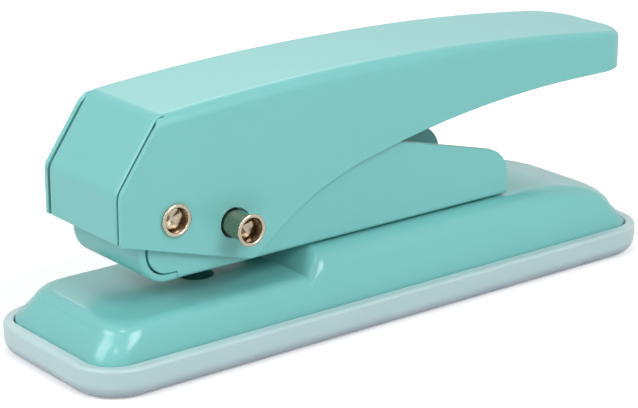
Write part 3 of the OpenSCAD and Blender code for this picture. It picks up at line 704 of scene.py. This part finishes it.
class HOLEPUNCH_OT_frame(bpy.types.Operator):
    """Folds the frame: a channel whose nose flap curls up in front of the walls"""
    bl_idname = "holepunch.frame"
    bl_label = "Frame"

    def execute(self, context):
        sizes = in_mm(context.scene.hole_punch.frame)
        half_w, sheet, bend = sizes.wide / 2, sizes.sheet, sizes.bend
        nose_round, seam = sizes.nose_round, sizes.seam
        low, rear = FRAME_LOW.z, FRAME_HIGH.x
        nose_mid = FRAME_LOW.x + nose_round
        seam_end = nose_mid + sizes.nose_floor
        wall_at = FRAME_LOW.x + sheet + seam
        wall_top = wall_at + (sizes.seam_top - seam) * (sizes.front / sizes.flap)
        quarter = math.pi / 2
        along = Vector((1, 0, 0))

        # Floor and lower bends
        bm = bmesh.new()
        near_start = bm.verts.new((seam_end, -half_w, low + bend))
        near = arc(bm, near_start, Vector((seam_end, bend - half_w, low + bend)), along, quarter, BEND_STEPS)
        far_start = bm.verts.new((seam_end, half_w - bend, low))
        far = arc(bm, far_start, Vector((seam_end, half_w - bend, low + bend)), along, quarter, BEND_STEPS)
        floor_edge = bm.edges.new((near[-1], far[0]))
        draw_on(bm, bm.edges[:], along * (rear - seam_end))
        ends = {vert: max((edge.other_vert(vert) for edge in vert.link_edges), key=lambda other: other.co.x)
                for vert in (near[0], far[-1])}

        # Walls, whose front corners stand clear inside the nose flap
        for start, y in ((near[0], -half_w), (far[-1], half_w)):
            top = trace(bm, [(rear, low + bend, 0), (rear, low + sizes.rear, sizes.rear_round),
                             (rear - sizes.peak_ahead, low + sizes.peak, sizes.peak_round),
                             (wall_top, low + sizes.front, sizes.front_round),
                             (wall_at, low + sheet + seam, nose_round - sheet - seam),
                             (seam_end, low + sheet + seam, 0), (seam_end, low + bend, 0)], y)
            bm.faces.new([start, ends[start]] + top)

        # Nose flap, as wide as the frame and split from the bends behind it
        split = 0.05
        sides = [bm.verts.new((seam_end - split, y, low)) for y in (-half_w, half_w)]
        flap = [bm.edges.new((sides[0], near[-1])), floor_edge, bm.edges.new((far[0], sides[1]))]
        flap = draw_on(bm, flap, along * (nose_mid - seam_end))
        flap = bmesh.ops.spin(bm, geom=flap, cent=(nose_mid, 0, low + nose_round), axis=(0, 1, 0),
                              angle=quarter, steps=12)["geom_last"]
        draw_on(bm, flap, Vector((0, 0, sizes.flap - nose_round)))

        # Holes for the pivot rivet, the drive pin's stroke, the guide and the two rivets
        drive = node_middle("drive_pin")
        for y in (-half_w, half_w):
            side_hole(bm, Vector((PIVOT.x, y, PIVOT.z)), sizes.pin_hole)
            side_hole(bm, Vector((drive.x, y, drive.z)), sizes.pin_hole, Vector((0, 0, -1)), sizes.pin_run)
        for node, radius in (("punch_pin", sizes.guide_hole), ("front_frame_rivet", sizes.rivet_hole),
                             ("rear_frame_rivet", sizes.rivet_hole)):
            centre = Vector((node_middle(node).x, 0, low))
            floor_hole(bm, flat_face(bm, 2, centre), centre, radius)
        turn_out(bm, Vector((rear, 0, low)), Vector((0, 0, -1)))
        bmesh.ops.solidify(bm, geom=bm.faces[:], thickness=sheet)
        # Coining leaves the bends square inside
        for vert in bm.verts:
            depths = (half_w - abs(vert.co.y), vert.co.z - low)
            if vert.co.x > nose_mid and all(bend - TOUCH < depth < sheet + TOUCH for depth in depths):
                vert.co.y = math.copysign(half_w - sheet, vert.co.y)
                vert.co.z = low + sheet
        bmesh.ops.remove_doubles(bm, verts=bm.verts, dist=1e-4)

        def on_flap_side(edge):
            """True for the outer edges along the nose flap's two sides."""
            def outer(spot):
                spoke = math.hypot(min(spot.x - nose_mid, 0), min(spot.z - low - nose_round, 0))
                return abs(abs(spot.y) - half_w) < TOUCH and abs(spoke - nose_round) < TOUCH
            return all(outer(vert.co) for vert in edge.verts)

        ease_edges(bm, sizes.flap_edge, keep=on_flap_side)
        ease_edges(bm, sizes.edge)
        satin = painted(context, *SATIN)
        finish_piece("frame_folding", bm, satin, "stand", ["frame_channel"])
        return {"FINISHED"}


class HOLEPUNCH_OT_lever(bpy.types.Operator):
    """Builds the folded lever with its crowned top, front flap and hand end"""
    bl_idname = "holepunch.lever"
    bl_label = "Lever"

    def execute(self, context):
        sizes = in_mm(context.scene.hole_punch.lever)
        half_w, nose, rear, bend = sizes.wide / 2, sizes.nose, sizes.rear, sizes.bend
        crown, crown_at, radius = sizes.crown, sizes.crown_at, sizes.crown_round
        top_fold, top_round = sizes.top_fold, sizes.top_round
        fold, fold_round, drop = sizes.fold, sizes.fold_round, sizes.drop
        hand, hand_corner, hand_round = sizes.hand, sizes.hand_corner, sizes.hand_round
        hub = Vector((crown_at, 0, crown - radius))
        # Corners of the walls' lower edge: place, height and radius
        arch = (sizes.arch_at - sizes.arch_round * math.tan(sizes.arch_turn / 2), hand, sizes.arch_round)
        neck = (arch[0] - sizes.neck * math.cos(sizes.arch_turn),
                hand - sizes.neck * math.sin(sizes.arch_turn), sizes.neck_round)
        lobe = (sizes.lobe_back, -sizes.lobe_down, sizes.lobe_round)

        def lean(x):
            """Turn of the crowned top along the lever."""
            return math.asin((x - crown_at) / radius)

        def top(x):
            """Height of the crowned top along the lever."""
            return crown - radius + radius * math.cos(lean(x))

        # Slope of the front flap between its two folds
        knee = Vector((-top_fold, 0, top(-top_fold)))
        chin = Vector((-nose, 0, fold))
        slope = (chin - knee).normalized()
        forward = Vector((-math.cos(lean(-top_fold)), 0, math.sin(lean(-top_fold))))
        top_turn = forward.angle(slope)
        fold_from = -top_fold + top_round * math.tan(top_turn / 2) * math.cos(lean(-top_fold))
        # The hand end starts a little ahead of its round corners
        hand_from = rear - hand_corner - 0.3

        # Crowned top
        bm = bmesh.new()
        front = [bm.verts.new((-top_fold, y, top(-top_fold))) for y in (-half_w, half_w)]
        front_edge = bm.edges.new(front)
        strip = front + [front_edge]
        stops = [-top_fold, fold_from, hand_from, rear]
        for start, stop, steps in zip(stops, stops[1:], (3, 72, 1)):
            strip = bmesh.ops.spin(bm, geom=strip, cent=hub, axis=(0, 1, 0),
                                   angle=lean(stop) - lean(start), steps=steps)["geom_last"]
        round_off(bm, verts_of(strip), hand_corner, 20, "VERTICES")
        for vert in bm.verts:
            vert.co.z = top(vert.co.x)
        rim = [edge for edge in bm.edges if edge.is_boundary and edge is not front_edge]

        # Wall round the hand end, whose lower edge rises in a soft curve at the rear
        hand_rim = [edge for edge in rim if min(vert.co.x for vert in edge.verts) > hand_from + TOUCH]
        hand_low = verts_of(bmesh.ops.extrude_edge_only(bm, edges=hand_rim)["geom"])
        for vert in hand_low:
            vert.co.z = hand + hand_round * soft_step(max(0, (vert.co.x - rear) / hand_round + 1) ** 2)

        # Side walls
        for y in (-half_w, half_w):
            along = sorted((vert for vert in bm.verts if abs(vert.co.y - y) < TOUCH
                            and abs(vert.co.z - top(vert.co.x)) < TOUCH), key=lambda vert: vert.co.x)
            start = min(hand_low, key=lambda vert: (vert.co - Vector((hand_from, y, hand))).length)
            under = trace(bm, [(rear, hand, 0), arch, neck, lobe, (-nose, -drop, 0),
                               (-nose, fold, fold_round), (knee.x, knee.z, 0)], y)
            bm.faces.new(along + [start] + under)
        turn_out(bm, Vector((crown_at, 0, crown)), Vector((0, 0, 1)))
        round_off(bm, rim, bend, BEND_STEPS)

        # Towards the hand end the bends get tighter: each section shrinks towards its outer corner
        for vert in bm.verts:
            shrink = (bend - sizes.hand_bend) / bend
            shrink *= soft_step((vert.co.x - sizes.tighten_at) / sizes.tighten_run)
            over = Vector((vert.co.x - rear + hand_corner, abs(vert.co.y) - half_w + hand_corner))
            if over.x > 0 and over.y > 0:
                inset, out = hand_corner - over.length, over.normalized()
            else:
                inset, out = hand_corner - max(over), Vector((1, 0)) if over.x > over.y else Vector((0, 1))
            sunk = top(vert.co.x) - vert.co.z
            if inset < bend + TOUCH and sunk < bend + TOUCH:
                vert.co.x += out.x * inset * shrink
                vert.co.y += math.copysign(out.y * inset * shrink, vert.co.y)
                vert.co.z += sunk * shrink

        # The slit between flap and wall is as wide as the third step of the bend
        slit_in, slit_out = (half_w - bend + bend * math.sin(turn) for turn in quarter_turns(BEND_STEPS)[2:4])
        lost = [face for face in bm.faces if face.calc_center_median().x < fold_from
                and abs(face.calc_center_median().y) < slit_out and face.normal.z > 0.3]
        bmesh.ops.delete(bm, geom=lost, context="FACES")

        # Front flap, folded down from the top's front edge
        slack = 0.05
        flap = [edge for edge in bm.edges if edge.is_boundary
                and all(abs(vert.co.x - fold_from) < slack and abs(vert.co.y) < slit_in + slack
                        for vert in edge.verts)]
        flap += dict.fromkeys(vert for edge in flap for vert in edge.verts)
        edge_at = Vector((fold_from, 0, top(fold_from)))
        out = Vector((math.sin(lean(fold_from)), 0, math.cos(lean(fold_from))))
        flap = bmesh.ops.spin(bm, geom=flap, cent=edge_at - out * top_round, axis=(0, 1, 0),
                              angle=-top_turn, steps=8)["geom_last"]
        chin_turn = slope.angle(Vector((0, 0, -1)))
        slope_run = (chin - knee).length - top_round * math.tan(top_turn / 2) \
            - fold_round * math.tan(chin_turn / 2)
        flap = draw_on(bm, flap, slope * slope_run)
        inward = Vector((-slope.z, 0, slope.x))
        inward = inward if inward.x > 0 else -inward
        face_at = max((vert.co for vert in verts_of(flap)), key=lambda spot: -abs(spot.y) + spot.z)
        chin_hub = Vector((face_at.x, 0, face_at.z)) + inward * fold_round
        flap = bmesh.ops.spin(bm, geom=flap, cent=chin_hub, axis=(0, 1, 0), angle=-chin_turn,
                              steps=6)["geom_last"]
        draw_on(bm, flap, Vector((0, 0, -drop - max(vert.co.z for vert in verts_of(flap)))))

        # Holes for the pivot rivet and the drive pin
        drive = node_middle("drive_pin") - PIVOT
        drive.y = 0
        for y in (-half_w, half_w):
            side_hole(bm, Vector((0, y, 0)), sizes.pivot_hole)
            drive_at = Vector((drive.x, y, drive.z))
            side_hole(bm, drive_at, sizes.drive_hole, drive.normalized(), sizes.drive_run)
        bmesh.ops.solidify(bm, geom=bm.faces[:], thickness=sizes.sheet)
        ease_edges(bm, sizes.edge)
        bmesh.ops.translate(bm, vec=(PIVOT.x, 0, PIVOT.z), verts=bm.verts)
        satin = painted(context, *SATIN)
        finish_piece("lever_folding", bm, satin, "lever", ["lever"])
        return {"FINISHED"}


class HOLEPUNCH_OT_pins(bpy.types.Operator):
    """Builds the hollow pivot rivet and the drive pin with their crimped ends"""
    bl_idname = "holepunch.pins"
    bl_label = "Pins"

    def execute(self, context):
        sizes = in_mm(context.scene.hole_punch.pins)
        finish = context.scene.hole_punch.finish
        # The nickel mixes in the dark brown of painted shade where the pins' hollow attribute asks
        nickel = bare_metal("Bright nickel plate", finish.nickel, 0.24, 0.25, EVEN, finish.hollow)
        cup, lip = sizes.cup, sizes.lip
        pins = (
            ("pivot_rivet", "lever", sizes.pivot_shank / 2, sizes.pivot_flange, sizes.pivot_cup),
            ("drive_pin", "drive_pin", sizes.drive_shank / 2, sizes.drive_flange, sizes.drive_cup),
        )
        # The setting tool left the hollow's bottom in uneven facets, whose ridges lie at these turns
        ridges = ((0, 0.1), (34, 0.42), (72, 0.0), (118, 0.36), (151, 0.12), (203, 0.5), (240, 0.05),
                  (287, 0.4), (322, 0.0), (360, 0.1))

        def ridge(turn):
            """Rise of the hollow's bottom at a turn in degrees."""
            for (start, low_rise), (stop, high_rise) in zip(ridges, ridges[1:]):
                if turn <= stop:
                    return low_rise + (high_rise - low_rise) * (turn - start) / (stop - start)
            return 0.0

        def tear(turn):
            """Unevenness of the flange's edge, which setting tore a little, at a turn in degrees."""
            return (math.sin(math.radians(7 * turn)) * math.sin(math.radians(turn + 40))
                    + 0.6 * math.sin(math.radians(17 * turn + 60)))

        for node, body, shank, flange, deep in pins:
            low, high = node_box(node)
            middle = node_middle(node)
            wide = (high.x - low.x) / 2
            bm = bmesh.new()
            # How much painted shade each point takes, read by the nickel's material
            hollow = bm.verts.layers.float.new("hollow")
            # Half section of one end, from the shank round the flange into the hollow: radius and depth
            profile = [(shank, flange + 4.5), (shank, flange + 0.02), (wide - 0.15, flange),
                       (wide - 0.03, flange * 0.75), (wide, flange * 0.5), (wide - 0.06, flange * 0.2),
                       (wide - 0.22, 0.03), (cup + 0.3, 0.0), (cup + 0.12, 0.04), (cup + 0.02, 0.16),
                       (cup - 0.03, 0.4), (cup - 0.08, deep * 0.6), (cup - 0.14, deep * 0.9),
                       (cup - 0.4, deep), (cup - 0.9, deep + 0.06), (cup - 1.4, deep + 0.12),
                       (0.0, deep + 0.2)]
            for end, way in ((low.y, 1), (high.y, -1)):
                verts = [bm.verts.new((middle.x, end + way * depth, middle.z + r)) for r, depth in profile]
                edges = [bm.edges.new(pair) for pair in zip(verts, verts[1:])]
                bmesh.ops.spin(bm, geom=verts + edges, cent=(middle.x, end, middle.z), axis=(0, 1, 0),
                               angle=math.tau, steps=90, use_merge=True)
            bmesh.ops.remove_doubles(bm, verts=bm.verts, dist=1e-4)
            bmesh.ops.bridge_loops(bm, edges=[edge for edge in bm.edges if edge.is_boundary])
            for vert in bm.verts:
                spoke = Vector((vert.co.x - middle.x, 0, vert.co.z - middle.z))
                depth = min(vert.co.y - low.y, high.y - vert.co.y)
                turn = math.degrees(math.atan2(spoke.x, spoke.z)) % 360
                if spoke.length > cup - 0.02:
                    # Outside: the torn edge of the flange, and painted shade that darkens the shank behind it
                    if spoke.length > wide - 0.25 and depth < flange:
                        vert.co -= spoke.normalized() * sizes.burr * (0.8 + 0.5 * tear(turn))
                    if depth > flange + 0.01:
                        vert[hollow] = 0.45
                elif depth > lip:
                    # Inside: painted shade turns the wall dark brown below its lip, and puts only a little on
                    # the facetted bottom
                    vert[hollow] = min(1.0, (depth - lip) / 0.4) if spoke.length > cup - lip else 0.12
                    if spoke.length < cup - lip:
                        share = spoke.length / cup * (1 if vert.co.y < middle.y else -1)
                        vert.co.y -= share * ridge(turn)
            bmesh.ops.recalc_face_normals(bm, faces=bm.faces)
            finish_piece(node + "_turning", bm, nickel, body, [node])
        return {"FINISHED"}


class HOLEPUNCH_OT_spring(bpy.types.Operator):
    """Winds the return spring between the frame's floor and the spring cup"""
    bl_idname = "holepunch.spring"
    bl_label = "Return spring"

    def execute(self, context):
        sizes = in_mm(context.scene.hole_punch.spring)
        wire, end = sizes.wire / 2, sizes.end_pitch
        low, high = node_box("return_spring")
        middle = (low + high) / 2
        radius = (high.y - low.y) / 2 - wire
        rise = high.z - low.z - 2 * wire
        inner = (rise - 2 * end) / (sizes.curls - 2)
        bm = bmesh.new()
        start = Matrix.Translation((middle.x + radius, 0, low.z + wire))
        bmesh.ops.create_circle(bm, cap_ends=False, segments=14, radius=wire,
                                matrix=start @ Matrix.Rotation(math.pi / 2, 4, "X"))
        geom = bm.verts[:] + bm.edges[:]
        steps = 40
        for curls, pitch in ((1, end), (sizes.curls - 2, inner), (1, end)):
            geom = bmesh.ops.spin(bm, geom=geom, cent=(middle.x, 0, 0), axis=(0, 0, 1),
                                  dvec=(0, 0, pitch / steps), angle=math.tau * curls,
                                  steps=steps * curls)["geom_last"]
        bmesh.ops.holes_fill(bm, edges=[edge for edge in bm.edges if edge.is_boundary], sides=0)
        bmesh.ops.recalc_face_normals(bm, faces=bm.faces)
        drawn = bare_metal("Drawn spring wire", context.scene.hole_punch.finish.wire, 0.32, 0.2, EVEN)
        spring = finish_piece("return_spring_coil", bm, drawn, "stand", ["return_spring"])
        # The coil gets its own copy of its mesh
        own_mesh(spring)
        return {"FINISHED"}


class HOLEPUNCH_OT_steel(bpy.types.Operator):
    """Finishes the punch, its bushes, the frame rivets, the spacer and the spring cup"""
    bl_idname = "holepunch.steel"
    bl_label = "Steel pieces"

    def execute(self, context):
        finish = context.scene.hole_punch.finish
        # Grinding lines run round the punch and its bushes, so they are stretched across the height
        ground = bare_metal("Ground tool steel", finish.tool, 0.24, 0.15, (0.15, 0.15, 1.0))
        plain = bare_metal("Plain headed steel", finish.plain, 0.38, 0.4, EVEN)
        for node in ("punch_pin", "guide_bush"):
            dress_node(node, ground, 0.08)
        # The die is pressed into the base before both are painted
        dress_node("die_bush", painted(context, *GLOSS), 0.08)
        for node in ("front_frame_rivet", "rear_frame_rivet", "pivot_spacer", "spring_cup"):
            dress_node(node, plain, 0.1)
        return {"FINISHED"}


class HOLEPUNCH_OT_stage(bpy.types.Operator):
    """Sets the white paper sweep, the soft studio lamps and the camera"""
    bl_idname = "holepunch.stage"
    bl_label = "Stage"

    def execute(self, context):
        scene = context.scene
        finish = scene.hole_punch.finish
        scene.view_settings.view_transform = "Standard"
        # White all round: the camera and every mirror image see plain white, and other rays a softer tent
        # that is lit from above
        world = bpy.data.worlds.new("White tent")
        scene.world = world
        world.use_nodes = True
        tree = world.node_tree
        tree.nodes.clear()
        path = add(tree, "ShaderNodeLightPath")
        seen = add(tree, "ShaderNodeMath", operation="MAXIMUM",
                   links={0: path.outputs["Is Camera Ray"], 1: path.outputs["Is Glossy Ray"]})
        seen = add(tree, "ShaderNodeMath", operation="MAXIMUM",
                   links={0: seen.outputs["Value"], 1: path.outputs["Is Transmission Ray"]})
        way = add(tree, "ShaderNodeTexCoord").outputs["Generated"]
        rise = add(tree, "ShaderNodeSeparateXYZ", links={"Vector": way}).outputs["Z"]
        soft = add(tree, "ShaderNodeMapRange", {"To Min": 0.12, "To Max": 0.40}, {"Value": rise})
        level = add(tree, "ShaderNodeMapRange", {"To Max": 1.0},
                    {"Value": seen.outputs["Value"], "To Min": soft.outputs["Result"]})
        tent = add(tree, "ShaderNodeBackground", {"Color": WHITE}, {"Strength": level.outputs["Result"]})
        add(tree, "ShaderNodeOutputWorld", links={"Surface": tent.outputs["Background"]})

        # The sheet lies a hair under the tray, so that the two flat faces don't mix
        reach, gap = 3.0, 0.05 * MM
        bm = bmesh.new()
        bmesh.ops.create_grid(bm, x_segments=1, y_segments=1, size=reach,
                              matrix=Matrix.Translation((0, 0, -gap)))
        mesh = bpy.data.meshes.new("paper_sweep")
        bm.to_mesh(mesh)
        bm.free()
        floor = bpy.data.objects.new("paper_sweep", mesh)
        scene.collection.objects.link(floor)
        paper, tree, place = new_material("Uncoated white paper")
        path = add(tree, "ShaderNodeLightPath")
        fibre = add(tree, "ShaderNodeTexNoise", {"Scale": per_metre(1.0), "Detail": 2.0}, {"Vector": place})
        tone = add(tree, "ShaderNodeMapRange", {"To Min": 0.995, "To Max": 1.005},
                   {"Value": fibre.outputs["Fac"]})
        tint = add(tree, "ShaderNodeHueSaturation", {"Color": linear(finish.floor)},
                   {"Value": tone.outputs["Result"]})
        matt = add(tree, "ShaderNodeBsdfDiffuse", links={"Color": tint.outputs["Color"]})
        # The camera sees the lit paper a little lifted, with the shadow on it
        lift = add(tree, "ShaderNodeMath", {1: 0.3}, {0: path.outputs["Is Camera Ray"]}, operation="MULTIPLY")
        glow = add(tree, "ShaderNodeEmission", {"Color": WHITE}, {"Strength": lift.outputs["Value"]})
        both = add(tree, "ShaderNodeAddShader", links={0: matt.outputs["BSDF"], 1: glow.outputs["Emission"]})
        # Away from the punch the camera sees the paper as plain white, like the tent behind it
        away = add(tree, "ShaderNodeVectorMath", links={0: place}, operation="LENGTH").outputs["Value"]
        fade = add(tree, "ShaderNodeMapRange", {"From Min": 110 * MM, "From Max": 400 * MM}, {"Value": away},
                   interpolation_type="SMOOTHSTEP")
        bare = add(tree, "ShaderNodeMath", operation="MULTIPLY",
                   links={0: fade.outputs["Result"], 1: path.outputs["Is Camera Ray"]})
        white = add(tree, "ShaderNodeEmission", {"Color": WHITE, "Strength": 1.0})
        sheet = add(tree, "ShaderNodeMixShader", links={0: bare.outputs["Value"], 1: both.outputs["Shader"],
                                                        2: white.outputs["Emission"]})
        add(tree, "ShaderNodeOutputMaterial", links={"Surface": sheet.outputs["Shader"]})
        mesh.materials.append(paper)

        # What the camera and the lamps look at, then each lamp's place, size in metres and power in watts
        target = Vector((-4.132, 0, 17.33)) * MM
        lamps = (
            ("Front soft box", (-0.64, 0.10, 0.48), 0.45, 3.0),
            ("Near soft box", (0.06, -0.66, 0.58), 0.45, 4.3),
            ("Far soft box", (0.46, 0.66, 0.68), 0.45, 1.5),
            ("Small overhead lamp", (-0.18, -0.09, 0.56), 0.07, 0.25),
            ("Small left lamp", (-0.50, -0.38, 0.50), 0.07, 0.25),
        )
        for name, place, size, power in lamps:
            light = bpy.data.lights.new(name, "AREA")
            light.shape = "SQUARE"
            light.size = size
            light.energy = power
            lamp = bpy.data.objects.new(name, light)
            lamp.location = place
            lamp.rotation_euler = (target - Vector(place)).to_track_quat("-Z", "Y").to_euler()
            scene.collection.objects.link(lamp)

        azimuth, elevation, distance = math.radians(-38.147), math.radians(18.395), 381.914 * MM
        back = Vector((math.sin(azimuth) * math.cos(elevation), -math.cos(azimuth) * math.cos(elevation),
                       math.sin(elevation)))
        lens = bpy.data.cameras.new("Product camera")
        lens.sensor_width = 36.0
        lens.lens = 126.57
        lens.clip_start = 0.01
        camera = bpy.data.objects.new("Product camera", lens)
        camera.location = target + back * distance
        camera.rotation_euler = back.to_track_quat("Z", "Y").to_euler()
        scene.collection.objects.link(camera)
        scene.camera = camera
        return {"FINISHED"}


class HOLEPUNCH_PT_panel(bpy.types.Panel):
    """Lists the pieces of the hole punch"""
    bl_idname = "HOLEPUNCH_PT_panel"
    bl_label = "Hole punch"
    bl_space_type = "VIEW_3D"
    bl_region_type = "UI"
    bl_category = "Hole punch"

    def draw(self, context):
        for step in STEPS:
            self.layout.operator(step.bl_idname)


STEPS = (HOLEPUNCH_OT_tray, HOLEPUNCH_OT_base, HOLEPUNCH_OT_frame, HOLEPUNCH_OT_lever, HOLEPUNCH_OT_pins,
         HOLEPUNCH_OT_spring, HOLEPUNCH_OT_steel, HOLEPUNCH_OT_stage)
CLASSES = (TraySizes, BaseSizes, FrameSizes, LeverSizes, PinSizes, SpringSizes, Finishes, HolePunchSettings,
           *STEPS, HOLEPUNCH_PT_panel)


def register():
    for item in CLASSES:
        bpy.utils.register_class(item)
    bpy.types.Scene.hole_punch = PointerProperty(type=HolePunchSettings)


def unregister():
    del bpy.types.Scene.hole_punch
    for item in reversed(CLASSES):
        bpy.utils.unregister_class(item)


def main():
    register()
    bpy.ops.holepunch.tray()
    bpy.ops.holepunch.base()
    bpy.ops.holepunch.frame()
    bpy.ops.holepunch.lever()
    bpy.ops.holepunch.pins()
    bpy.ops.holepunch.spring()
    bpy.ops.holepunch.steel()
    bpy.ops.holepunch.stage()


if __name__ == "__main__":
    main()
